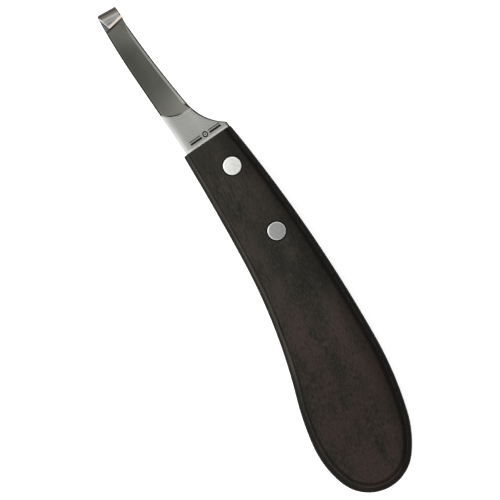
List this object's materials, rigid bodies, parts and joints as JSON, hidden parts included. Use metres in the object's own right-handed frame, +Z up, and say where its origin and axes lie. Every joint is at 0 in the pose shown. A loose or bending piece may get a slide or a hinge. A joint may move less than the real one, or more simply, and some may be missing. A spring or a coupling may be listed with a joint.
{
  "type": "hoof knife",
  "caption": "Farrier's hoof knife: a narrow right-handed blade with a curled tip, held in a one-piece slotted wooden handle by cutler's rivets.",
  "frame": {"origin": "under the middle of the whole knife's box, on the surface it lies on", "axes": "+X from the butt of the handle to the tip of the blade, +Y towards the hollow side of the handle and the spine of the blade, +Z up from the lower flat of the handle, which is the way the tip curls"},
  "size_m": [0.2102, 0.0457, 0.0214],
  "materials": {
    "handle_wood": "dark laminated hardwood, resin-filled and lightly polished, fine grain lengthwise",
    "blade_steel": "satin ground steel, darker in the hollow grind, bright along the sharpened edge",
    "rivet_metal": "smooth satin rivet heads, ground nearly flush with the wood"
  },
  "bodies": {
    "root": {"handle": "handle_wood", "blade": "blade_steel", "front_rivet_female": "rivet_metal", "front_rivet_male": "rivet_metal", "rear_rivet_female": "rivet_metal", "rear_rivet_male": "rivet_metal"}
  },
  "joints": []
}
